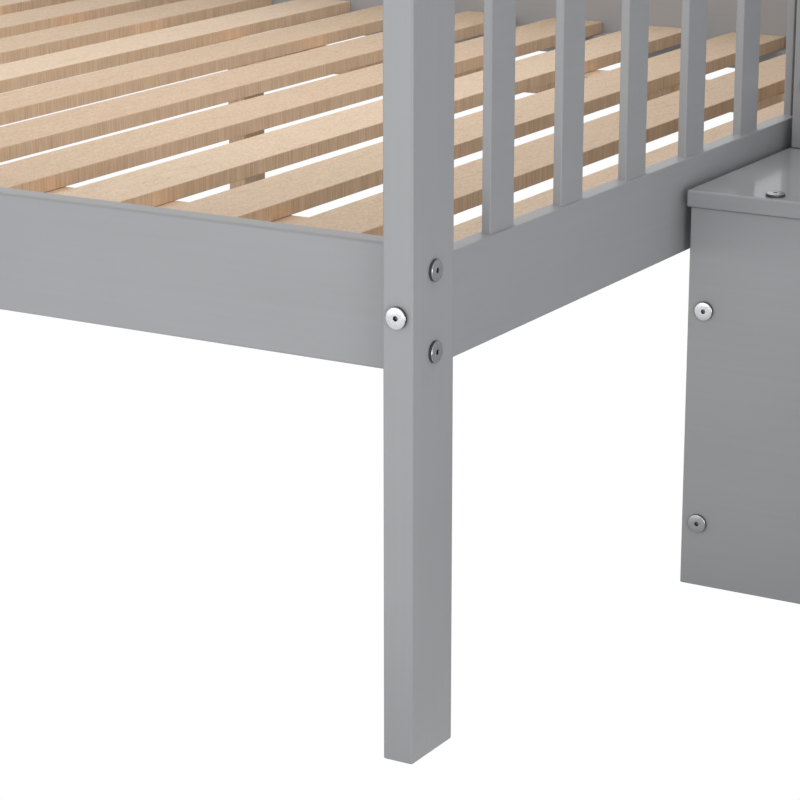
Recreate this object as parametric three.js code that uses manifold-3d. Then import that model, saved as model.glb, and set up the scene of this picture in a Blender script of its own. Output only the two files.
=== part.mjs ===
// Loft bed over a full-size lower bed, with a boxed staircase and a desk beside it.
//
// Units are millimetres and +Z is up. While it is built, the origin is the outer bottom corner of
// the front right post: -X runs along the bed, +X towards the stairs and the desk, +Y to the back.
// At the end the whole group moves so that its origin is the middle of its footprint on the floor.
import * as THREE from "three";
import { mergeVertices } from "three/addons/utils/BufferGeometryUtils.js";
import Module from "manifold-3d";

const wasm = await Module();
wasm.setup();

// ---------------------------------------------------------------- driving dimensions
const GAP = 0.3; // between pieces that touch
const LAP = 1; // how far boards of one glued piece run into each other
const PAST = 5; // how far a cutting shape runs past the faces that it cuts
const SMALL_ROUND = 4; // rounds under this get two facets a quarter, and larger ones four

const BED = { length: 2022, width: 1456 };
const POST = { thick: 25, deep: 60, height: 1720, round: 2 };
const RAIL = { thick: 20, setback: 16.6, height: 94, round: 2.5 };
const LEDGER = { wide: 24, high: 24.7, glued: 3, round: 1 };
const END = { thick: 15, setback: 7.3, height: 80, round: 1 };
const PICKET = { wide: 37.5, thick: 7.5, first: 152.5, count: 11, tenon: 25 };
const CAP_RAIL = { height: 60, round: 5 };
const SLAT = { wide: 69, thick: 14, first: 71, count: 16, drop: 55 };
const BEAM = { wide: 45, high: 26, inset: 311, round: 2 };
const LEG = { wide: 24, offset: 113 };
const GUARD = { low: 61, lowHeight: 40, count: 16, pitch: 115 };
const DOORWAY = { from: 920, pickets: 7, stile: 40 };

// Rail bottoms of the two beds, and how far above them the end panels' cap rails start.
const LOWER = { name: "lower", base: 294, capAbove: 466 };
const UPPER = { name: "upper", base: 1240, capAbove: 400 };

const STAIR = { left: 2, width: 430, front: 464, going: 216, rise: 245, firstTop: 350.5, count: 4 };
const TREAD = { thick: 14.5, nose: 3.5, side: 2, round: 2 };
const PANEL = 18; // stair sides, desk and pedestal boards
const RISER = 15;
const EDGE_ROUND = 1; // of a plain board's long edges
const FRONT_ROUND = 1.5; // of risers and drawer fronts
const SIDE_INSET = 6.7; // riser edge to the face of the stair side

const DESK = { front: 948, right: 1434, top: 750, thick: 18, round: 3 };
const CLEAT = { wide: 18, high: 40, setback: 12 };
const DESK_BACK = { thick: 15, setback: 20, low: 350 };
const PEDESTAL = { width: 400, setback: 20, rear: 8, back: 15, stretcher: 60 };
const PLINTH = { low: 4, high: 50, setback: 30 };
const RUNNER = { wide: 14, high: 18, clearance: 0.5 };
const DRAWER = { wall: 12, floor: 6, sideGap: 4, frontGap: 2, frontThick: 18 };
const GRIP = { wide: 92, deep: 24, round: 14 };

const STEP_DRAWER = { from: 500, to: 675, low: 50, high: 310, reach: 350 };

const BOLT = { headR: 8.2, headHigh: 2.8, chamfer: 0.9, shankR: 3.5, length: 62, facets: 24 };
const SOCKET = { radius: 2.2, deep: 2, sides: 6 };
const HOLE_R = BOLT.shankR + GAP;
// Bolts of a corner: the pair on the post's side stands this far above and below the front one.
const CORNER_BOLT = { high: 339, fromFront: 30.5, spread: 30 };
const RISER_BOLT = { low: 57, high: 247 };

// ---------------------------------------------------------------- materials
const paint = new THREE.MeshStandardMaterial({ color: 0x989b9c, roughness: 0.48, metalness: 0 });
const slatWood = new THREE.MeshStandardMaterial({ color: 0xdac2a7, roughness: 0.6, metalness: 0 });
const drawerWood = new THREE.MeshStandardMaterial({ color: 0xcfb595, roughness: 0.62, metalness: 0 });
const zinc = new THREE.MeshStandardMaterial({ color: 0xb4b7ba, roughness: 0.3, metalness: 1 });

// ---------------------------------------------------------------- solids
const AXES = {
  x: [new THREE.Vector3(0, 1, 0), new THREE.Vector3(0, 0, 1), new THREE.Vector3(1, 0, 0)],
  y: [new THREE.Vector3(0, 0, 1), new THREE.Vector3(1, 0, 0), new THREE.Vector3(0, 1, 0)],
  z: [new THREE.Vector3(1, 0, 0), new THREE.Vector3(0, 1, 0), new THREE.Vector3(0, 0, 1)],
};

function toSolid(geometry) {
  const bare = geometry.clone();
  bare.deleteAttribute("normal");
  bare.deleteAttribute("uv");
  const merged = mergeVertices(bare, 1e-4);
  const index = merged.index.array;
  const triVerts = [];
  for (let i = 0; i < index.length; i += 3) {
    const [a, b, c] = [index[i], index[i + 1], index[i + 2]];
    if (a !== b && b !== c && c !== a) triVerts.push(a, b, c);
  }
  return new wasm.Manifold(
    new wasm.Mesh({
      numProp: 3,
      vertProperties: new Float32Array(merged.attributes.position.array),
      triVerts: new Uint32Array(triVerts),
    }),
  );
}

function toGeometry(solid) {
  const mesh = solid.getMesh();
  const geometry = new THREE.BufferGeometry();
  geometry.setAttribute("position", new THREE.BufferAttribute(new Float32Array(mesh.vertProperties), 3));
  geometry.setIndex(new THREE.BufferAttribute(new Uint32Array(mesh.triVerts), 1));
  geometry.computeVertexNormals();
  return geometry;
}

const join = (solids) => solids.reduce((whole, next) => whole.add(next));
const cut = (solid, tools) => tools.reduce((whole, tool) => whole.subtract(tool), solid);

// A rectangle from (0, 0) to (w, h) with its corners rounded.
function roundedOutline(w, h, r) {
  const shape = new THREE.Shape();
  shape.moveTo(r, 0);
  shape.lineTo(w - r, 0);
  if (r) shape.absarc(w - r, r, r, -Math.PI / 2, 0);
  shape.lineTo(w, h - r);
  if (r) shape.absarc(w - r, h - r, r, 0, Math.PI / 2);
  shape.lineTo(r, h);
  if (r) shape.absarc(r, h - r, r, Math.PI / 2, Math.PI);
  shape.lineTo(0, r);
  if (r) shape.absarc(r, r, r, Math.PI, 1.5 * Math.PI);
  return shape;
}

// A board that fills the three spans. Its long edges, which run along the axis, can be rounded.
function board(x, y, z, along, radius = 0) {
  const spans = { x, y, z };
  const [u, v] = { x: ["y", "z"], y: ["z", "x"], z: ["x", "y"] }[along];
  const size = (name) => spans[name][1] - spans[name][0];
  const geometry = new THREE.ExtrudeGeometry(roundedOutline(size(u), size(v), radius), {
    depth: size(along),
    bevelEnabled: false,
    curveSegments: radius < SMALL_ROUND ? 1 : 2,
  });
  geometry.applyMatrix4(new THREE.Matrix4().makeBasis(...AXES[along]));
  geometry.translate(x[0], y[0], z[0]);
  return toSolid(geometry);
}

// A round rod from a point, along an axis direction.
function rod(point, direction, length, radius) {
  const geometry = new THREE.CylinderGeometry(radius, radius, length, BOLT.facets);
  geometry.translate(0, length / 2, 0);
  const turn = new THREE.Quaternion().setFromUnitVectors(
    new THREE.Vector3(0, 1, 0),
    new THREE.Vector3(...direction),
  );
  geometry.applyQuaternion(turn);
  geometry.translate(...point);
  return toSolid(geometry);
}

// ---------------------------------------------------------------- placing along the bed
// Spans measured inwards from an end, a long side, or upwards from a level's rail bottom.
const fromEnd = (end, a, b) => (end === "right" ? [-b, -a] : [a - BED.length, b - BED.length]);
const fromSide = (side, a, b) => (side === "front" ? [a, b] : [BED.width - b, BED.width - a]);
const above = (base, a, b) => [base + a, base + b];
const around = (middle, width) => [middle - width / 2, middle + width / 2];

const group = new THREE.Group();

function add(name, solid, material) {
  const mesh = new THREE.Mesh(toGeometry(solid), material);
  mesh.name = name;
  group.add(mesh);
}

// ---------------------------------------------------------------- bolts and the holes they need
// Each bolt: the point on the face under its head, and the direction in which it goes in.
const cornerBolts = {
  bolt_post_front: { at: [-POST.thick / 2, 0, CORNER_BOLT.high], into: [0, 1, 0] },
  bolt_post_side_upper: {
    at: [0, CORNER_BOLT.fromFront, CORNER_BOLT.high + CORNER_BOLT.spread],
    into: [-1, 0, 0],
  },
  bolt_post_side_lower: {
    at: [0, CORNER_BOLT.fromFront, CORNER_BOLT.high - CORNER_BOLT.spread],
    into: [-1, 0, 0],
  },
};
const RISER_BOLT_X = STAIR.left + SIDE_INSET + PANEL / 2;
const riserBolts = {
  bolt_riser_upper: { at: [RISER_BOLT_X, STAIR.front, RISER_BOLT.high], into: [0, 1, 0] },
  bolt_riser_lower: { at: [RISER_BOLT_X, STAIR.front, RISER_BOLT.low], into: [0, 1, 0] },
};

const hole = ({ at, into }) => {
  const start = at.map((value, i) => value - into[i] * PAST);
  return rod(start, into, BOLT.length + 2 * PAST, HOLE_R);
};
const holes = (bolts) => Object.values(bolts).map(hole);

function bolt({ at, into }) {
  const profile = [
    [0, -BOLT.length],
    [BOLT.shankR, -BOLT.length],
    [BOLT.shankR, 0],
    [BOLT.headR, 0],
    [BOLT.headR, BOLT.headHigh - BOLT.chamfer],
    [BOLT.headR - BOLT.chamfer, BOLT.headHigh],
    [0, BOLT.headHigh],
  ].map(([r, h]) => new THREE.Vector2(r, h));
  const turned = toSolid(new THREE.LatheGeometry(profile, BOLT.facets));
  const hexagon = new THREE.CylinderGeometry(SOCKET.radius, SOCKET.radius, 2 * SOCKET.deep, SOCKET.sides);
  const socket = toSolid(hexagon.translate(0, BOLT.headHigh, 0));
  const out = new THREE.Vector3(...into).negate();
  const turn = new THREE.Quaternion().setFromUnitVectors(new THREE.Vector3(0, 1, 0), out);
  const geometry = toGeometry(turned.subtract(socket));
  geometry.applyQuaternion(turn);
  geometry.translate(...at);
  geometry.translate(...out.multiplyScalar(GAP).toArray());
  return toSolid(geometry);
}

// ---------------------------------------------------------------- the two beds
function addPosts() {
  for (const end of ["right", "left"]) {
    for (const side of ["front", "back"]) {
      const x = fromEnd(end, 0, POST.thick);
      const y = fromSide(side, 0, POST.deep);
      const blank = board(x, y, [0, POST.height], "z", POST.round);
      const drilled = end === "right" && side === "front";
      add(`post_${side}_${end}`, drilled ? cut(blank, holes(cornerBolts)) : blank, paint);
    }
  }
}

// A long rail with the ledger strip that carries the slats glued inside it.
function addRail(level, side) {
  const x = [POST.thick + GAP - BED.length, -POST.thick - GAP];
  const inner = RAIL.setback + RAIL.thick;
  const railY = fromSide(side, RAIL.setback, inner);
  const stripY = fromSide(side, inner - LEDGER.glued, inner + LEDGER.wide);
  const whole = join([
    board(x, railY, above(level.base, 0, RAIL.height), "x", RAIL.round),
    board(x, stripY, above(level.base, 0, LEDGER.high), "x", LEDGER.round),
  ]);
  const drilled = level === LOWER && side === "front";
  add(`${level.name}_rail_${side}`, drilled ? cut(whole, holes(cornerBolts)) : whole, paint);
}

const picketMiddle = (i) => {
  const pitch = (BED.width - 2 * PICKET.first) / (PICKET.count - 1);
  return PICKET.first + i * pitch;
};

// An end panel: a rail, a row of pickets standing on it, and a cap rail. The upper right one
// leaves a doorway for the stairs, closed off by a stile.
function addEndPanel(level, end) {
  const doorway = level === UPPER && end === "right";
  const across = [POST.deep + GAP, BED.width - POST.deep - GAP];
  const thick = fromEnd(end, END.setback, END.setback + END.thick);
  const capLow = level.capAbove;
  const capSpan = doorway ? [across[0], DOORWAY.from] : across;
  const middle = (thick[0] + thick[1]) / 2;
  const pieces = [
    board(thick, across, above(level.base, 0, END.height), "y", END.round),
    board(thick, capSpan, above(level.base, capLow, capLow + CAP_RAIL.height), "y", CAP_RAIL.round),
  ];
  const count = doorway ? DOORWAY.pickets : PICKET.count;
  const upright = above(level.base, END.height - PICKET.tenon, capLow + PICKET.tenon);
  for (let i = 0; i < count; i += 1) {
    const y = around(picketMiddle(i), PICKET.wide);
    pieces.push(board(around(middle, PICKET.thick), y, upright, "z"));
  }
  if (doorway) {
    const y = [DOORWAY.from - DOORWAY.stile, DOORWAY.from];
    const z = above(level.base, END.height - PICKET.tenon, capLow + CAP_RAIL.height - CAP_RAIL.round);
    pieces.push(board(thick, y, z, "z", END.round));
  }
  const whole = join(pieces);
  const drilled = level === LOWER && end === "right";
  add(`${level.name}_end_${end}`, drilled ? cut(whole, holes(cornerBolts)) : whole, paint);
}

const slatStart = (i) => {
  const pitch = (BED.length - 2 * SLAT.first - SLAT.wide) / (SLAT.count - 1);
  return SLAT.first + i * pitch;
};
const slatTop = (level) => level.base + RAIL.height - SLAT.drop;
const slatSpanY = () => {
  const end = RAIL.setback + RAIL.thick + GAP;
  return [end, BED.width - end];
};

function slat(level, i) {
  const top = slatTop(level);
  const x = fromEnd("right", slatStart(i), slatStart(i) + SLAT.wide);
  return board(x, slatSpanY(), [top - SLAT.thick, top], "y");
}

function addSlats() {
  for (let i = 0; i < SLAT.count; i += 1) {
    add(`slat_${String(i + 1).padStart(2, "0")}`, slat(LOWER, i), slatWood);
  }
}

// The upper slats come stapled to two thin battens, as one roll.
function addUpperDeck() {
  const pieces = [];
  for (let i = 0; i < SLAT.count; i += 1) pieces.push(slat(UPPER, i));
  const bottom = slatTop(UPPER) - SLAT.thick;
  const x = fromEnd("right", SLAT.first, BED.length - SLAT.first);
  for (const side of ["front", "back"]) {
    const y = fromSide(side, BEAM.inset - BEAM.wide / 2, BEAM.inset + BEAM.wide / 2);
    pieces.push(board(x, y, [bottom - BEAM.high, bottom + LAP], "x"));
  }
  add("upper_slat_deck", join(pieces), slatWood);
}

// A beam under the slats with one leg; the two are the same piece, turned end for end.
function addSlatSupport(side) {
  const top = slatTop(LOWER) - SLAT.thick - GAP;
  const inner = END.setback + END.thick + GAP;
  const x = [inner - BED.length, -inner];
  const y = fromSide(side, BEAM.inset - BEAM.wide / 2, BEAM.inset + BEAM.wide / 2);
  const legAt = -BED.length / 2 + (side === "back" ? LEG.offset : -LEG.offset);
  const beam = board(x, y, [top - BEAM.high, top], "x", BEAM.round);
  const leg = board(around(legAt, LEG.wide), y, [0, top - BEAM.high / 2], "z", BEAM.round);
  add(`slat_support_${side}`, join([beam, leg]), slatWood);
}

function addGuard(side) {
  const x = [POST.thick + GAP - BED.length, -POST.thick - GAP];
  const middle = RAIL.setback + RAIL.thick / 2;
  const thick = fromSide(side, middle - END.thick / 2, middle + END.thick / 2);
  const low = RAIL.height + GUARD.low;
  const cap = UPPER.capAbove;
  const pieces = [
    board(x, thick, above(UPPER.base, low, low + GUARD.lowHeight), "x", END.round),
    board(x, thick, above(UPPER.base, cap, cap + CAP_RAIL.height), "x", CAP_RAIL.round),
  ];
  const y = fromSide(side, middle - PICKET.thick / 2, middle + PICKET.thick / 2);
  const z = above(UPPER.base, low + GUARD.lowHeight - PICKET.tenon, cap + PICKET.tenon);
  for (let i = 0; i < GUARD.count; i += 1) {
    const at = -BED.length / 2 + (i - (GUARD.count - 1) / 2) * GUARD.pitch;
    pieces.push(board(around(at, PICKET.wide), y, z, "z"));
  }
  add(`guard_${side}`, join(pieces), paint);
}

// ---------------------------------------------------------------- the staircase
const riserFace = (i) => STAIR.front + i * STAIR.going;
const treadTop = (i) => STAIR.firstTop + i * STAIR.rise;
const stairRight = STAIR.left + STAIR.width;
const stairBackFace = riserFace(STAIR.count);
const sideSpan = (end) =>
  end === "left"
    ? [STAIR.left + SIDE_INSET, STAIR.left + SIDE_INSET + PANEL]
    : [stairRight - SIDE_INSET - PANEL, stairRight - SIDE_INSET];

function addTread(i) {
  const last = i === STAIR.count - 1;
  const x = [STAIR.left - TREAD.side, stairRight + TREAD.side];
  const y = [riserFace(i) - TREAD.nose, riserFace(i + 1) + (last ? 0 : RISER)];
  const z = [treadTop(i) - TREAD.thick, treadTop(i)];
  add(`tread_${i + 1}`, board(x, y, z, "x", TREAD.round), paint);
}

function addRiser(i) {
  const low = i === 0 ? 0 : treadTop(i - 1) + GAP;
  const z = [low, treadTop(i) - TREAD.thick - GAP];
  const y = [riserFace(i), riserFace(i) + RISER];
  const blank = board([STAIR.left, stairRight], y, z, "z", FRONT_ROUND);
  add(`riser_${i + 1}`, i === 0 ? cut(blank, holes(riserBolts)) : blank, paint);
}

// A stepped side board, cut under the treads and behind the risers.
function addStairSide(end) {
  const outline = new THREE.Shape();
  const behind = (i) => riserFace(i) + RISER + GAP;
  const under = (i) => treadTop(i) - TREAD.thick - GAP;
  const back = stairBackFace - PANEL - GAP;
  outline.moveTo(behind(0), 0);
  outline.lineTo(back, 0);
  outline.lineTo(back, under(STAIR.count - 1));
  for (let i = STAIR.count - 1; i > 0; i -= 1) {
    outline.lineTo(behind(i), under(i));
    outline.lineTo(behind(i), under(i - 1));
  }
  outline.lineTo(behind(0), under(0));
  const geometry = new THREE.ExtrudeGeometry(outline, { depth: PANEL, bevelEnabled: false });
  geometry.applyMatrix4(new THREE.Matrix4().makeBasis(...AXES.x));
  geometry.translate(sideSpan(end)[0], 0, 0);
  const tools = end === "left" ? holes(riserBolts) : [stepDrawerMouth()];
  add(`stair_side_${end}`, cut(toSolid(geometry), tools), paint);
}

function stepDrawerMouth() {
  const [x0, x1] = sideSpan("right");
  const y = [STEP_DRAWER.from, STEP_DRAWER.to];
  return board([x0 - PAST, x1 + PAST], y, [STEP_DRAWER.low, STEP_DRAWER.high], "x");
}

function addStairBack() {
  const z = [0, treadTop(STAIR.count - 1) - TREAD.thick - GAP];
  const x = [sideSpan("left")[0], sideSpan("right")[1]];
  add("stair_back", board(x, [stairBackFace - PANEL, stairBackFace], z, "z", EDGE_ROUND), paint);
}

// The shelf between the stair sides that the step drawer runs on.
function addStepShelf() {
  const x = [sideSpan("left")[1] + GAP, sideSpan("right")[0] - GAP];
  const y = [riserFace(0) + RISER + GAP, riserFace(1)];
  const top = STEP_DRAWER.low + DRAWER.frontGap;
  add("step_shelf", board(x, y, [top - RISER, top], "x"), drawerWood);
}

// ---------------------------------------------------------------- drawers
// An open-topped box: four walls round a thin floor.
function drawerBox(x, y, z) {
  const within = ([a, b]) => [a + DRAWER.wall, b - DRAWER.wall];
  const inside = board(within(x), within(y), [z[0] + DRAWER.floor, z[1] + PAST], "z");
  return board(x, y, z, "z", EDGE_ROUND).subtract(inside);
}

// The finger grip cut through the top edge of a front; it runs along the given axis.
function grip(middle, top, through, along) {
  const wide = around(middle, GRIP.wide);
  const high = [top - GRIP.deep, top + GRIP.deep];
  return along === "y"
    ? board(wide, through, high, "y", GRIP.round)
    : board(through, wide, high, "x", GRIP.round);
}

function addStepDrawer() {
  const face = sideSpan("right")[1];
  const clear = DRAWER.frontGap;
  const y = [STEP_DRAWER.from + clear, STEP_DRAWER.to - clear];
  const z = [STEP_DRAWER.low + clear, STEP_DRAWER.high - clear];
  const x = [face - RISER, face];
  const front = board(x, y, [z[0] + GAP, z[1]], "x", FRONT_ROUND);
  const notch = grip((y[0] + y[1]) / 2, z[1], [x[0] - PAST, x[1] + PAST], "x");
  add("step_drawer_front", front.subtract(notch), paint);
  const back = face - RISER - GAP;
  const boxY = [y[0] + DRAWER.sideGap, y[1] - DRAWER.sideGap];
  const boxZ = [z[0] + RUNNER.clearance, z[1] - GRIP.deep - DRAWER.wall];
  add("step_drawer_box", drawerBox([back - STEP_DRAWER.reach, back], boxY, boxZ), drawerWood);
}

// ---------------------------------------------------------------- the desk
const deskUnder = DESK.top - DESK.thick - GAP;
const deskLeft = sideSpan("right")[1] + GAP;
const pedestalX = [DESK.right - PEDESTAL.width, DESK.right];
const pedestalY = [DESK.front + PEDESTAL.setback, BED.width - PEDESTAL.rear];
const innerX = [pedestalX[0] + PANEL, pedestalX[1] - PANEL];

function addDeskTop() {
  const z = [DESK.top - DESK.thick, DESK.top];
  add("desk_top", board([deskLeft, DESK.right], [DESK.front, BED.width], z, "x", DESK.round), paint);
}

function addDeskCleat() {
  const x = [deskLeft, deskLeft + CLEAT.wide];
  const y = [DESK.front + CLEAT.setback, stairBackFace];
  add("desk_cleat", board(x, y, [deskUnder - CLEAT.high, deskUnder], "y", EDGE_ROUND), paint);
}

function addDeskBack() {
  const rear = BED.width - DESK_BACK.setback;
  const x = [deskLeft, pedestalX[0] - GAP];
  const y = [rear - DESK_BACK.thick, rear];
  add("desk_back", board(x, y, [DESK_BACK.low, deskUnder], "x", EDGE_ROUND), paint);
}

// Drawer fronts of the pedestal, from the floor board up to the stretcher under the desk top.
const pedestalFloor = PLINTH.high + PANEL;
const stretcherLow = deskUnder - PANEL;
const frontHeight = (stretcherLow - pedestalFloor - 3 * DRAWER.frontGap) / 2;
const frontLow = (i) => pedestalFloor + DRAWER.frontGap + i * (frontHeight + DRAWER.frontGap);
const boxLow = (i) => frontLow(i) + RUNNER.high + 2 * RUNNER.clearance;

function addPedestal() {
  const [y0, y1] = pedestalY;
  const across = [pedestalX[0] + LAP, pedestalX[1] - LAP];
  const under = deskUnder - LAP;
  const plinthY = [y0 + PLINTH.setback, y0 + PLINTH.setback + RISER];
  const pieces = [
    board([pedestalX[0], innerX[0]], pedestalY, [0, deskUnder], "z", EDGE_ROUND),
    board([innerX[1], pedestalX[1]], pedestalY, [0, deskUnder], "z", EDGE_ROUND),
    board(across, [y0 + LAP, y1 - LAP], [PLINTH.high, pedestalFloor], "x"),
    board(across, plinthY, [PLINTH.low, PLINTH.high + LAP], "x"),
    board(across, [y1 - PEDESTAL.back, y1 - LAP], [PLINTH.high, under], "x"),
    board(across, [y0 + LAP, y0 + PEDESTAL.stretcher], [stretcherLow, under], "x"),
  ];
  const runnerY = [y0 + DRAWER.frontThick + DRAWER.frontGap, y1 - PEDESTAL.back + LAP];
  for (let i = 0; i < 2; i += 1) {
    const top = boxLow(i) - RUNNER.clearance;
    const z = [top - RUNNER.high, top];
    pieces.push(board([innerX[0] - LAP, innerX[0] + RUNNER.wide], runnerY, z, "y"));
    pieces.push(board([innerX[1] - RUNNER.wide, innerX[1] + LAP], runnerY, z, "y"));
  }
  add("desk_pedestal", join(pieces), paint);
}

function addDeskDrawers() {
  const [y0, y1] = pedestalY;
  const x = [innerX[0] + DRAWER.frontGap, innerX[1] - DRAWER.frontGap];
  const names = ["lower", "upper"];
  names.forEach((name, i) => {
    const z = [frontLow(i), frontLow(i) + frontHeight];
    const front = board(x, [y0, y0 + DRAWER.frontThick], z, "y", FRONT_ROUND);
    const notch = grip((x[0] + x[1]) / 2, z[1], [y0 - PAST, y0 + DRAWER.frontThick + PAST], "y");
    add(`desk_drawer_${name}_front`, front.subtract(notch), paint);
    const boxX = [innerX[0] + DRAWER.sideGap, innerX[1] - DRAWER.sideGap];
    const boxY = [y0 + DRAWER.frontThick + GAP, y1 - PEDESTAL.back - DRAWER.wall];
    const boxZ = [boxLow(i), z[1] - GRIP.deep - DRAWER.wall];
    add(`desk_drawer_${name}_box`, drawerBox(boxX, boxY, boxZ), drawerWood);
  });
}

// ---------------------------------------------------------------- assembly
addPosts();
for (const level of [LOWER, UPPER]) {
  addRail(level, "front");
  addRail(level, "back");
  addEndPanel(level, "right");
  addEndPanel(level, "left");
}
addSlats();
addUpperDeck();
addSlatSupport("front");
addSlatSupport("back");
addGuard("front");
addGuard("back");

for (let i = 0; i < STAIR.count; i += 1) {
  addTread(i);
  addRiser(i);
}
addStairSide("left");
addStairSide("right");
addStairBack();
addStepShelf();
addStepDrawer();

addDeskTop();
addDeskCleat();
addDeskBack();
addPedestal();
addDeskDrawers();

for (const [name, place] of Object.entries({ ...cornerBolts, ...riserBolts })) {
  add(name, bolt(place), zinc);
}

// The footprint runs from the left posts to the desk, and from the front bolt head to the back.
const footprint = {
  x: [-BED.length, DESK.right],
  y: [-BOLT.headHigh - GAP, BED.width],
};
group.position.set(-(footprint.x[0] + footprint.x[1]) / 2, -(footprint.y[0] + footprint.y[1]) / 2, 0);

export default group;
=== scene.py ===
"""Looks of the loft bed with its stairs and desk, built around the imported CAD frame.

Units are metres. +X runs along the bed towards the stairs and desk, +Y to the back, +Z up.
"""

import math

import bmesh
import bpy
from mathutils import Matrix, Vector


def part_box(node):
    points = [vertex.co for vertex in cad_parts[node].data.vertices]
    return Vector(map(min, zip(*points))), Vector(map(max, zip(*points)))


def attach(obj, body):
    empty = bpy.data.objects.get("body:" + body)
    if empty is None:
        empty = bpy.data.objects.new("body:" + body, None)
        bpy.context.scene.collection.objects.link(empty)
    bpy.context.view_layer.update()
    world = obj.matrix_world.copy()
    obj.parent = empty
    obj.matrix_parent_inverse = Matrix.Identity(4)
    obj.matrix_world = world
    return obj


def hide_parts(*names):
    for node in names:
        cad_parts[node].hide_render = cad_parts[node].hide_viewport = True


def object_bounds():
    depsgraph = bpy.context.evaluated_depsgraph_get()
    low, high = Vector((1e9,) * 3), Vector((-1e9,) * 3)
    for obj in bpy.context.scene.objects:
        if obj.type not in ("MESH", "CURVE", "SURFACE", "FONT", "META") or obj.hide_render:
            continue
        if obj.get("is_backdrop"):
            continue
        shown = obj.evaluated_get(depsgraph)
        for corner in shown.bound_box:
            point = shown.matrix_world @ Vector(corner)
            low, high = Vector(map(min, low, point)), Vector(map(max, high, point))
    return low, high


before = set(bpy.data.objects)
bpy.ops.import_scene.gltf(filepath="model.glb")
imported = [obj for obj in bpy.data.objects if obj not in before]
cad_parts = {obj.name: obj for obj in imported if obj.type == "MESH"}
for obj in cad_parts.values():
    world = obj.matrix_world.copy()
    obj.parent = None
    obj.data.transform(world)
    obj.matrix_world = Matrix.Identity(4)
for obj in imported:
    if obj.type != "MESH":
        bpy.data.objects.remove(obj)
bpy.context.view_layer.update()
ROOT = "frame"
MM = 0.001

# ------------------------------------------------------------------ driving values
# The camera, the front lamps and the floor's light are set out from the outer bottom corner of the
# front right post.
POST_LOW, POST_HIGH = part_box("post_front_right")
CORNER = Vector((POST_HIGH.x, POST_LOW.y, 0.0))
BED_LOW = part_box("post_front_left")[0]
BED_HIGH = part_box("post_back_right")[1]

CAMERA = {"offset": (0.946, -1.632, 0.821), "heading": -30.37, "pitch": -15.99, "lens": 124.3}
SENSOR_WIDTH = 36.0

EDGE_ROUND = 1.1 * MM
SLAT_EDGE_ROUND = 0.7 * MM
EDGE_SEGMENTS = 3
WELD_DISTANCE = 0.01 * MM
# Faces that turn less than the first angle are one face; edges sharper than the second are rounded.
FLAT_ANGLE = math.radians(0.5)
SHARP_ANGLE = math.radians(50)

STEPS = 4
# Bolts: in from a tread's ends and back from its front, down from a top edge, and up the first riser.
TREAD_BOLT = {"in": 74 * MM, "back": 14 * MM}
CAP_BOLT_DOWN = 30 * MM
RISER_BOLT_HIGH = 247 * MM
BOLT = {"radius": 8.2 * MM, "neck": 7.7 * MM, "high": 3.0 * MM, "rim": 0.7 * MM, "sides": 48}
SOCKET = {"radius": 2.0 * MM, "chamfer": 0.25 * MM, "deep": 1.9 * MM}
RIM_STEPS = 4
BOLT_TURN = 0.4
BOLT_SHARP_ANGLE = math.radians(35)

FLOOR_HALF = 30.0
FLOOR_DROP = 0.5 * MM

# Strengths that rise from low to high along a direction; the floor's over a span about the corner.
FLOOR_LIGHT = {"low": 0.24, "high": 0.85, "from": -0.4, "to": 0.5, "toward": (-0.5, -0.86, 0.0)}
WORLD_LIGHT = {"low": 0.40, "high": 1.22, "toward": (-0.42, -0.2, -0.88)}
# Lamps: base point, place and aim from that point, size, power in watts.
LAMPS = {
    "key": ("corner", (-0.9, -1.7, 0.25), (-0.35, 0, 0.25), (0.9, 0.4), 3.0),
    "side": ("corner", (0.85, -0.35, 0.3), (0, 0.05, 0.25), (0.5, 0.4), 2.5),
    "under_loft": ("loft", (0.15, 0, -0.03), (0.15, 0, -1.03), (1.7, 1.1), 5.0),
    "slat_edges": ("slats", (-0.22, 0, 0.5), (-1.22, 0, 0.05), (1.1, 0.4), 0.9),
    "fill_right": ("right", (1.4, 0.3, 0.9), (0, 0.3, 0.6), (1.2, 1.2), 3.8),
    "fill_back": ("back", (0, 1.8, 1.1), (0, 0, 0.9), (2.4, 1.2), 7.0),
    "fill_top": ("top", (0, 0.25, 2.45), (0, 0.25, 0.75), (1.2, 1.0), 6.0),
}
LAMP_SPREAD = {"under_loft": math.radians(140), "slat_edges": math.radians(120)}

# Where one slat's tone gives way to the next, as a share of the pitch before its edge, and the height
# of one level of slats.
SLAT_TONE = {"lead": 0.2, "level": 0.6}
# Linear colours.
PAINT_DARK = (0.374, 0.381, 0.397, 1)
PAINT_LIGHT = (0.411, 0.418, 0.436, 1)
MAPLE_FACE = [(0.53, 0.375, 0.24, 1), (0.66, 0.505, 0.36, 1), (0.77, 0.615, 0.465, 1)]
# The slat sides' colours are lighter than the faces': their own streaky tone, raised by painted light.
MAPLE_EDGE_WITH_PAINTED_LIGHT = [(0.62, 0.42, 0.26, 1), (0.76, 0.54, 0.36, 1), (0.87, 0.65, 0.45, 1)]
BIRCH_FACE = [(0.49, 0.35, 0.215, 1), (0.56, 0.42, 0.275, 1), (0.63, 0.49, 0.34, 1)]
ZINC_COLOR = (0.75, 0.76, 0.79)

# ------------------------------------------------------------------ node helpers


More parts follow.
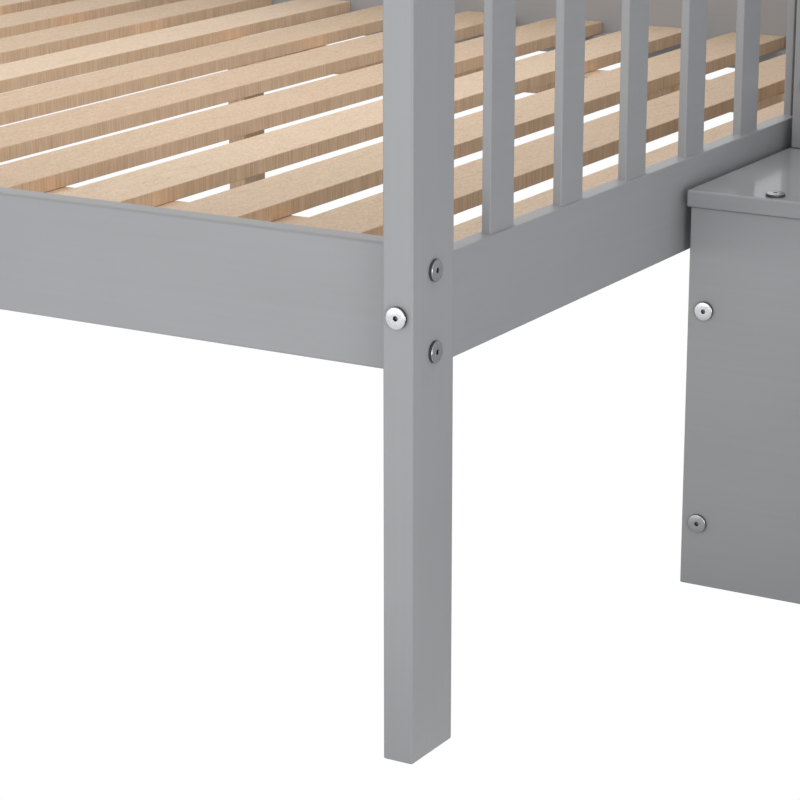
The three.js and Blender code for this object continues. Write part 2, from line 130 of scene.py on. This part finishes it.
class Tree:
    """A material's node tree, with short ways to add and join nodes."""

    def __init__(self, name):
        self.material = bpy.data.materials.new(name)
        self.material.use_nodes = True
        self.nodes = self.material.node_tree.nodes
        self.links = self.material.node_tree.links
        self.shader = self.nodes["Principled BSDF"]
        self.place = self.add("ShaderNodeTexCoord").outputs["Object"]

    def add(self, kind, inputs=None, **settings):
        node = self.nodes.new(kind)
        for name, value in settings.items():
            setattr(node, name, value)
        for name, value in (inputs or {}).items():
            self.feed(node.inputs[name], value)
        return node

    def feed(self, socket, value):
        if isinstance(value, bpy.types.NodeSocket):
            self.links.new(value, socket)
        else:
            socket.default_value = value

    def stretched(self, scale):
        """The place on the object, in metres, with each axis multiplied by its own scale."""
        return self.add("ShaderNodeMapping", {"Vector": self.place, "Scale": scale}).outputs["Vector"]

    def noise(self, vector, detail=3.0, roughness=0.55, distortion=0.0):
        inputs = {"Vector": vector, "Scale": 1.0, "Detail": detail, "Roughness": roughness}
        inputs["Distortion"] = distortion
        return self.add("ShaderNodeTexNoise", inputs).outputs["Fac"]

    def ramp(self, factor, stops):
        """Colours or greys at positions from 0 to 1; a stop is (position, colour)."""
        node = self.add("ShaderNodeValToRGB", {"Fac": factor})
        elements = node.color_ramp.elements
        while len(elements) < len(stops):
            elements.new(0.5)
        for element, (position, color) in zip(elements, stops):
            element.position = position
            element.color = color if isinstance(color, tuple) else (color, color, color, 1)
        return node.outputs["Color"]

    def math(self, operation, a, b=0.0):
        node = self.add("ShaderNodeMath", operation=operation)
        self.feed(node.inputs[0], a)
        self.feed(node.inputs[1], b)
        return node.outputs[0]

    def mix(self, factor, a, b):
        """Two colours mixed; the node's colour sockets come after those for numbers and vectors."""
        node = self.add("ShaderNodeMix", data_type="RGBA")
        self.feed(node.inputs["Factor"], factor)
        self.feed(node.inputs[6], a)
        self.feed(node.inputs[7], b)
        return node.outputs[2]

    def bump(self, height, strength, distance):
        inputs = {"Height": height, "Strength": strength, "Distance": distance}
        self.feed(self.shader.inputs["Normal"], self.add("ShaderNodeBump", inputs).outputs["Normal"])

    def set(self, **values):
        for name, value in values.items():
            self.feed(self.shader.inputs[name.replace("_", " ")], value)


def along(axis, length_scale, cross_scale):
    """A scale that is low along the board's axis and high across it."""
    return [length_scale if name == axis else cross_scale for name in "xyz"]


# ------------------------------------------------------------------ materials


def zip_stops(positions, colors):
    return list(zip(positions, colors))


def grey_paint(axis, polish=0.0, gloss=0.5):
    """Sprayed satin paint over sanded wood: faint mottling, faint grain along the board, orange peel.

    Treads and the desk top are rubbed smoother, by the polish that comes off their roughness.
    """
    tree = Tree(f"grey_paint_{axis}_{polish}")
    mottle = tree.noise(tree.stretched((5, 5, 5)), detail=4)
    grain = tree.noise(tree.stretched(along(axis, 6, 260)), detail=2)
    tone = tree.math("ADD", tree.math("MULTIPLY", mottle, 0.7), tree.math("MULTIPLY", grain, 0.3))
    tree.set(Base_Color=tree.ramp(tone, [(0.3, PAINT_DARK), (0.7, PAINT_LIGHT)]))
    peel = tree.noise(tree.stretched((420, 420, 420)), detail=2)
    tree.set(Roughness=tree.ramp(mottle, [(0.3, 0.32 - polish), (0.7, 0.40 - polish)]))
    height = tree.math("ADD", tree.math("MULTIPLY", grain, 0.6), tree.math("MULTIPLY", peel, 0.4))
    tree.bump(height, 0.05 - 0.2 * polish, 0.0012)
    tree.set(Specular_IOR_Level=gloss)
    return tree.material


def slat_tone(tree):
    """A tone from 0 to 1 that is the same all over one slat, and the number of that slat."""
    first, second = (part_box(name) for name in ("slat_01", "slat_02"))
    pitch = abs(first[0].x - second[0].x)
    start = first[0].x - SLAT_TONE["lead"] * pitch
    parts = tree.add("ShaderNodeSeparateXYZ", {"Vector": tree.place})
    shifted = tree.math("SUBTRACT", parts.outputs["X"], start)
    number = tree.math("FLOOR", tree.math("DIVIDE", shifted, pitch))
    level = tree.math("FLOOR", tree.math("DIVIDE", parts.outputs["Z"], SLAT_TONE["level"]))
    seed = tree.add("ShaderNodeCombineXYZ", {"X": number, "Y": level})
    random = tree.add("ShaderNodeTexWhiteNoise", {"Vector": seed.outputs[0]}, noise_dimensions="3D")
    return random.outputs["Value"], number


def maple(axis):
    """Pale planed maple: soft figure along the board on its faces, upright streaks on its edges. The
    edges' colour is also lighter than the faces', painted light on the slat sides.
    """
    tree = Tree(f"maple_{axis}")
    tone, number = slat_tone(tree)
    offset = tree.add("ShaderNodeCombineXYZ", {"X": tree.math("MULTIPLY", number, 3.7), "Z": tone})
    shifted = tree.add("ShaderNodeVectorMath", operation="ADD")
    tree.feed(shifted.inputs[0], tree.stretched(along(axis, 4.5, 20)))
    tree.feed(shifted.inputs[1], offset.outputs[0])
    figure = tree.noise(shifted.outputs[0], detail=4, roughness=0.5, distortion=1.2)
    fine = tree.noise(tree.stretched(along(axis, 40, 900)), detail=2)
    flecks = tree.noise(tree.stretched(along(axis, 300, 620)), detail=2, roughness=0.7)
    rings = tree.math("FRACT", tree.math("MULTIPLY", figure, 6.0))
    rings = tree.ramp(rings, [(0.0, 0.52), (0.86, 0.54), (0.93, 0.36), (1.0, 0.52)])
    face = tree.math("ADD", tree.math("MULTIPLY", rings, 0.34), tree.math("MULTIPLY", fine, 0.16))
    face = tree.math("ADD", face, tree.math("MULTIPLY", flecks, 0.40))
    face = tree.math("ADD", face, tree.math("MULTIPLY", tone, 0.12))
    face_color = tree.ramp(face, zip_stops((0.40, 0.52, 0.62), MAPLE_FACE))

    streak = tree.noise(tree.stretched((680, 680, 30)), detail=2)
    broad = tree.noise(tree.stretched((60, 60, 9)), detail=2)
    edge = tree.math("ADD", tree.math("MULTIPLY", streak, 0.7), tree.math("MULTIPLY", broad, 0.3))
    # The sides' real streaks, in lighter colours that add painted light.
    edge_color_with_painted_light = tree.ramp(edge, zip_stops((0.32, 0.5, 0.68), MAPLE_EDGE_WITH_PAINTED_LIGHT))

    normal = tree.add("ShaderNodeNewGeometry").outputs["Normal"]
    upright = tree.add("ShaderNodeSeparateXYZ", {"Vector": normal}).outputs["Z"]
    flat = tree.math("GREATER_THAN", tree.math("ABSOLUTE", upright), 0.6)
    tree.set(Base_Color=tree.mix(flat, edge_color_with_painted_light, face_color))
    tree.set(Roughness=tree.ramp(fine, [(0.3, 0.5), (0.7, 0.62)]))
    tree.bump(tree.math("ADD", fine, flecks), 0.25, 0.0006)
    return tree.material


def birch():
    """Bare birch ply of the drawer boxes and their shelf: level grain along the walls."""
    tree = Tree("birch_ply")
    figure = tree.noise(tree.stretched((7, 7, 60)), detail=5, distortion=0.8)
    fine = tree.noise(tree.stretched((40, 40, 600)), detail=2)
    tone = tree.math("ADD", tree.math("MULTIPLY", figure, 0.65), tree.math("MULTIPLY", fine, 0.35))
    tree.set(Base_Color=tree.ramp(tone, zip_stops((0.34, 0.5, 0.68), BIRCH_FACE)))
    tree.set(Roughness=tree.ramp(fine, [(0.3, 0.52), (0.7, 0.65)]))
    tree.bump(tone, 0.15, 0.0006)
    return tree.material


def zinc(name, shade, rough):
    """Zinc-plated steel: fine speckle of the plating and a little uneven gloss."""
    tree = Tree(name)
    speckle = tree.noise(tree.stretched((1500, 1500, 1500)), detail=2)
    cloud = tree.noise(tree.stretched((260, 260, 260)), detail=2)
    bright = tuple(shade * value for value in ZINC_COLOR) + (1,)
    dim = tuple(0.85 * shade * value for value in ZINC_COLOR) + (1,)
    tree.set(Base_Color=tree.ramp(speckle, [(0.3, dim), (0.7, bright)]))
    tree.set(Roughness=tree.ramp(cloud, [(0.3, rough), (0.7, rough + 0.1)]))
    tree.set(Metallic=1.0)
    tree.bump(speckle, 0.2, 0.0001)
    return tree.material


PAINT = {axis: grey_paint(axis) for axis in "xyz"}
TREAD_PAINT = grey_paint("x", polish=0.25, gloss=0.24)
MAPLE = {axis: maple(axis) for axis in "xy"}
BIRCH = birch()
ZINC = zinc("zinc", 1.0, 0.17)
# A darkened copy of the zinc: painted shade for the bolts' necks, rim walls and sockets.
ZINC_PAINTED_SHADE = zinc("zinc_painted_shade", 0.24, 0.4)


def board_axis(node):
    """The longest direction of a CAD node, which its grain follows."""
    low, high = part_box(node)
    size = high - low
    return "xyz"[max(range(3), key=lambda i: size[i])]


def material_for(node):
    if node.startswith("slat_support"):
        return MAPLE["x"]
    if node.startswith("slat_") or node == "upper_slat_deck":
        return MAPLE["y"]
    if node.endswith("_box") or node == "step_shelf":
        return BIRCH
    if node.startswith("bolt_"):
        return ZINC
    if node.startswith("tread_") or node == "desk_top":
        return TREAD_PAINT
    return PAINT[board_axis(node)]


# ------------------------------------------------------------------ carried-over CAD nodes


def soften(piece, width):
    """Joins the flat faces of a CAD node, rounds its sharp edges and keeps its flat faces flat."""
    mesh = piece.data
    if "custom_normal" in mesh.attributes:
        mesh.attributes.remove(mesh.attributes["custom_normal"])
    mesh.polygons.foreach_set("use_smooth", [True] * len(mesh.polygons))
    weld = piece.modifiers.new("weld", "WELD")
    weld.merge_threshold = WELD_DISTANCE
    flat = piece.modifiers.new("flat_faces", "DECIMATE")
    flat.decimate_type = "DISSOLVE"
    flat.angle_limit = FLAT_ANGLE
    bevel = piece.modifiers.new("edges", "BEVEL")
    bevel.width = width
    bevel.segments = EDGE_SEGMENTS
    bevel.limit_method = "ANGLE"
    bevel.angle_limit = SHARP_ANGLE
    bevel.use_clamp_overlap = False
    shade = piece.modifiers.new("shade", "WEIGHTED_NORMAL")
    shade.mode = "FACE_AREA"
    shade.weight = 100


def dress_cad_nodes():
    for name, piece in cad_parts.items():
        piece.data.materials.clear()
        piece.data.materials.append(material_for(name))
        wood = name.startswith("slat_") or name == "upper_slat_deck"
        if not name.startswith("bolt_"):
            soften(piece, SLAT_EDGE_ROUND if wood else EDGE_ROUND)


# ------------------------------------------------------------------ bolt heads


def hexagon(angle, radius):
    """Distance from the centre to a hexagon's edge, for a hexagon of that corner radius."""
    step = math.pi / 3
    inside = (angle % step) - step / 2
    return radius * math.cos(step / 2) / math.cos(inside)


def bolt_profile():
    """Rings from the wood up to the socket's floor: (radius, height, is a hexagon, takes the painted
    shade).
    """
    radius, neck, high, rim = (BOLT[name] for name in ("radius", "neck", "high", "rim"))
    socket = SOCKET["radius"]
    under = [(neck, 0.0), (neck, 0.3 * MM), (radius - 0.1 * MM, 0.35 * MM), (radius, 0.5 * MM)]
    rings = [(across, height, False, True) for across, height in under]
    for i in range(RIM_STEPS + 1):
        turn = i / RIM_STEPS * math.pi / 2
        across = radius - rim + rim * math.cos(turn)
        rings.append((across, high - rim + rim * math.sin(turn), False, i < 2))
    rings.append((1.5 * socket, high, False, False))
    rings.append((1.12 * socket, high, True, False))
    rings.append((socket, high - SOCKET["chamfer"], True, True))
    rings.append((0.96 * socket, high - SOCKET["deep"], True, True))
    return rings


def bolt_mesh():
    """A flat round head on a short neck, with a rounded rim and a hexagon socket. The neck, the foot of
    the rim, the socket and the end faces take the darker zinc, painted shade.
    """
    work = bmesh.new()
    sides = BOLT["sides"]
    angles = [2 * math.pi * i / sides for i in range(sides)]
    profile = bolt_profile()
    loops = []
    for distance, height, is_hexagon, _ in profile:
        reach = [hexagon(a, distance) if is_hexagon else distance for a in angles]
        points = [(d * math.cos(a), d * math.sin(a), height) for a, d in zip(angles, reach)]
        loops.append([work.verts.new(point) for point in points])
    for lower, upper, (_, _, _, painted_shade) in zip(loops, loops[1:], profile[1:]):
        for i in range(sides):
            k = (i + 1) % sides
            face = work.faces.new((lower[i], lower[k], upper[k], upper[i]))
            face.material_index = 1 if painted_shade else 0
    # The face against the wood and the socket's floor take the darker zinc, painted shade.
    work.faces.new(reversed(loops[0])).material_index = 1
    work.faces.new(loops[-1]).material_index = 1
    bmesh.ops.recalc_face_normals(work, faces=work.faces)
    mesh = bpy.data.meshes.new("bolt_head")
    work.to_mesh(mesh)
    work.free()
    mesh.materials.append(ZINC)
    mesh.materials.append(ZINC_PAINTED_SHADE)
    mesh.polygons.foreach_set("use_smooth", [True] * len(mesh.polygons))
    mesh.set_sharp_from_angle(angle=BOLT_SHARP_ANGLE)
    return mesh


BOLT_MESH = bolt_mesh()


def add_bolt(name, point, out, replaces=None):
    """A bolt head on a face: the point on the face, and the direction that it stands out in."""
    head = bpy.data.objects.new(name, BOLT_MESH)
    bpy.context.scene.collection.objects.link(head)
    facing = Vector(out).to_track_quat("Z", "Y").to_matrix().to_4x4()
    head.matrix_world = Matrix.Translation(point) @ facing @ Matrix.Rotation(BOLT_TURN, 4, "Z")
    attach(head, ROOT)
    if replaces:
        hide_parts(replaces)


def add_cad_bolts():
    """Finer heads in place of the CAD bolts, each on the face that its bolt stands on."""
    faces = {
        "bolt_post_front": ((0, -1, 0), POST_LOW.y),
        "bolt_post_side_upper": ((1, 0, 0), POST_HIGH.x),
        "bolt_post_side_lower": ((1, 0, 0), POST_HIGH.x),
        "bolt_riser_upper": ((0, -1, 0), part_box("riser_1")[0].y),
        "bolt_riser_lower": ((0, -1, 0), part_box("riser_1")[0].y),
    }
    for node, (out, face) in faces.items():
        low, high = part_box(node)
        point = (low + high) / 2
        axis = 0 if out[0] else 1
        point[axis] = face
        add_bolt(f"{node}_head", point, out, replaces=node)


def post_bolts():
    """The bolts of the four posts that aren't CAD nodes: name, point on the face, and the way out."""
    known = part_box("bolt_post_front"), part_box("bolt_post_side_upper"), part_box("bolt_post_side_lower")
    front, upper, lower = ((low + high) / 2 for low, high in known)
    inset_y = upper.y - POST_LOW.y
    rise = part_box("upper_rail_front")[0].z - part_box("lower_rail_front")[0].z
    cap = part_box("guard_front")[1].z - CAP_BOLT_DOWN
    lower_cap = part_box("lower_end_right")[1].z - CAP_BOLT_DOWN
    cross_heights = {"end": front.z, "cap": lower_cap, "upper_end": front.z + rise, "upper_cap": cap}
    rail_heights = {"rail_a": lower.z, "rail_b": upper.z}
    rail_heights.update(upper_rail_a=lower.z + rise, upper_rail_b=upper.z + rise, guard=cap)
    for post in ("front_right", "front_left", "back_right", "back_left"):
        low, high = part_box(f"post_{post}")
        middle = (low.x + high.x) / 2
        to_front = post.startswith("front")
        to_right = post.endswith("right")
        face_y = low.y if to_front else high.y
        face_x = high.x if to_right else low.x
        y = low.y + inset_y if to_front else high.y - inset_y
        drilled = {"end", "rail_a", "rail_b"} if post == "front_right" else set()
        for key, z in cross_heights.items():
            if key not in drilled:
                yield f"bolt_{post}_{key}", (middle, face_y, z), (0, -1 if to_front else 1, 0)
        for key, z in rail_heights.items():
            if key not in drilled:
                yield f"bolt_{post}_{key}", (face_x, y, z), (1 if to_right else -1, 0, 0)


def stair_bolts():
    """The bolts along the riser edges that aren't CAD nodes."""
    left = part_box("bolt_riser_lower")
    x_left = (left[0].x + left[1].x) / 2
    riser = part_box("riser_1")
    x_right = riser[0].x + riser[1].x - x_left
    margin = (left[0].z + left[1].z) / 2 - riser[0].z
    for i in range(1, STEPS + 1):
        low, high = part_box(f"riser_{i}")
        top = low.z + RISER_BOLT_HIGH if i == 1 else high.z - margin
        for side, x in (("left", x_left), ("right", x_right)):
            drilled = i == 1 and side == "left"
            if not drilled:
                yield f"bolt_riser_{i}_{side}_low", (x, low.y, low.z + margin), (0, -1, 0)
                yield f"bolt_riser_{i}_{side}_high", (x, low.y, top), (0, -1, 0)


def tread_bolts():
    """Two bolts near the front edge of each tread."""
    for i in range(1, STEPS + 1):
        low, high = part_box(f"tread_{i}")
        for side, x in (("left", low.x + TREAD_BOLT["in"]), ("right", high.x - TREAD_BOLT["in"])):
            yield f"bolt_tread_{i}_{side}", (x, low.y + TREAD_BOLT["back"], high.z), (0, 0, 1)


def add_other_bolts():
    for name, point, out in (*post_bolts(), *stair_bolts(), *tread_bolts()):
        add_bolt(name, Vector(point), out)


# ------------------------------------------------------------------ stage, light and camera


def graded_white(tree, kind, grade, place, span):
    """White to the camera; to the object, light that rises over the span of places along a direction."""
    nodes, links = tree.nodes, tree.links
    toward = nodes.new("ShaderNodeVectorMath")
    toward.operation = "DOT_PRODUCT"
    toward.inputs[1].default_value = Vector(grade["toward"]).normalized()
    links.new(place, toward.inputs[0])
    level = nodes.new("ShaderNodeMapRange")
    level.inputs["From Min"].default_value, level.inputs["From Max"].default_value = span
    level.inputs["To Min"].default_value = grade["low"]
    level.inputs["To Max"].default_value = grade["high"]
    links.new(toward.outputs["Value"], level.inputs["Value"])
    given = nodes.new(kind)
    seen = nodes.new(kind)
    for node in (given, seen):
        node.inputs["Color"].default_value = (1, 1, 1, 1)
    links.new(level.outputs[0], given.inputs["Strength"])
    seen.inputs["Strength"].default_value = 1.0
    path = nodes.new("ShaderNodeLightPath")
    choose = nodes.new("ShaderNodeMixShader")
    links.new(path.outputs["Is Camera Ray"], choose.inputs[0])
    links.new(given.outputs[0], choose.inputs[1])
    links.new(seen.outputs[0], choose.inputs[2])
    return choose.outputs[0]


def floor_material():
    material = bpy.data.materials.new("studio_floor")
    material.use_nodes = True
    tree = material.node_tree
    tree.nodes.clear()
    place = tree.nodes.new("ShaderNodeNewGeometry").outputs["Position"]
    start = CORNER.dot(Vector(FLOOR_LIGHT["toward"]).normalized())
    span = (start + FLOOR_LIGHT["from"], start + FLOOR_LIGHT["to"])
    white = graded_white(tree, "ShaderNodeEmission", FLOOR_LIGHT, place, span)
    tree.links.new(white, tree.nodes.new("ShaderNodeOutputMaterial").inputs["Surface"])
    return material


def add_floor():
    """A plain floor, lit to pure white, that gives back less light to the object than it shows."""
    half = FLOOR_HALF
    corners = [(-half, -half, 0), (half, -half, 0), (half, half, 0), (-half, half, 0)]
    mesh = bpy.data.meshes.new("floor")
    mesh.from_pydata(corners, [], [(0, 1, 2, 3)])
    mesh.materials.append(floor_material())
    floor = bpy.data.objects.new("floor", mesh)
    bpy.context.scene.collection.objects.link(floor)
    floor.location.z = -FLOOR_DROP
    floor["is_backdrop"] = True


def add_world():
    """White to the eye; as light, brightest from below on the left, dimmest from above on the right."""
    world = bpy.data.worlds.new("studio")
    bpy.context.scene.world = world
    world.use_nodes = True
    tree = world.node_tree
    tree.nodes.clear()
    place = tree.nodes.new("ShaderNodeTexCoord").outputs["Generated"]
    white = graded_white(tree, "ShaderNodeBackground", WORLD_LIGHT, place, (-1.0, 1.0))
    tree.links.new(white, tree.nodes.new("ShaderNodeOutputWorld").inputs["Surface"])


def lamp_bases():
    """The points that the lamps are set out from."""
    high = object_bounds()[1]
    middle = (BED_LOW + BED_HIGH) / 2
    return {
        "corner": CORNER,
        "loft": Vector((middle.x, middle.y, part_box("upper_slat_deck")[0].z)),
        "slats": Vector((BED_HIGH.x, middle.y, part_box("slat_01")[1].z)),
        "right": Vector((high[0], 0, 0)),
        "back": Vector((middle.x, high[1], 0)),
        "top": Vector(((BED_HIGH.x + high[0]) / 2, 0, 0)),
    }


def add_lamp(name, place, target, size, power):
    data = bpy.data.lights.new(name, "AREA")
    data.shape = "RECTANGLE"
    data.size, data.size_y = size
    data.energy = power
    if name in LAMP_SPREAD:
        data.spread = LAMP_SPREAD[name]
    lamp = bpy.data.objects.new(name, data)
    bpy.context.scene.collection.objects.link(lamp)
    lamp.location = place
    lamp.rotation_euler = (target - place).to_track_quat("-Z", "Y").to_euler()
    lamp.visible_camera = False
    lamp.visible_glossy = not name.startswith("fill_")


def add_lights():
    """The front lights, and soft fills on the right, the back and the top, which they don't reach."""
    bases = lamp_bases()
    for name, (base, place, aim, size, power) in LAMPS.items():
        add_lamp(name, bases[base] + Vector(place), bases[base] + Vector(aim), size, power)


def add_camera():
    data = bpy.data.cameras.new("camera")
    data.lens = CAMERA["lens"]
    data.sensor_width = SENSOR_WIDTH
    camera = bpy.data.objects.new("camera", data)
    bpy.context.scene.collection.objects.link(camera)
    camera.location = CORNER + Vector(CAMERA["offset"])
    heading, pitch = (math.radians(CAMERA[name]) for name in ("heading", "pitch"))
    level = math.cos(pitch)
    aim = Vector((math.sin(heading) * level, math.cos(heading) * level, math.sin(pitch)))
    camera.rotation_euler = aim.to_track_quat("-Z", "Y").to_euler()
    bpy.context.scene.camera = camera


add_camera()
dress_cad_nodes()
add_cad_bolts()
add_other_bolts()
add_floor()
add_world()
add_lights()
bpy.context.scene.view_settings.view_transform = "Standard"
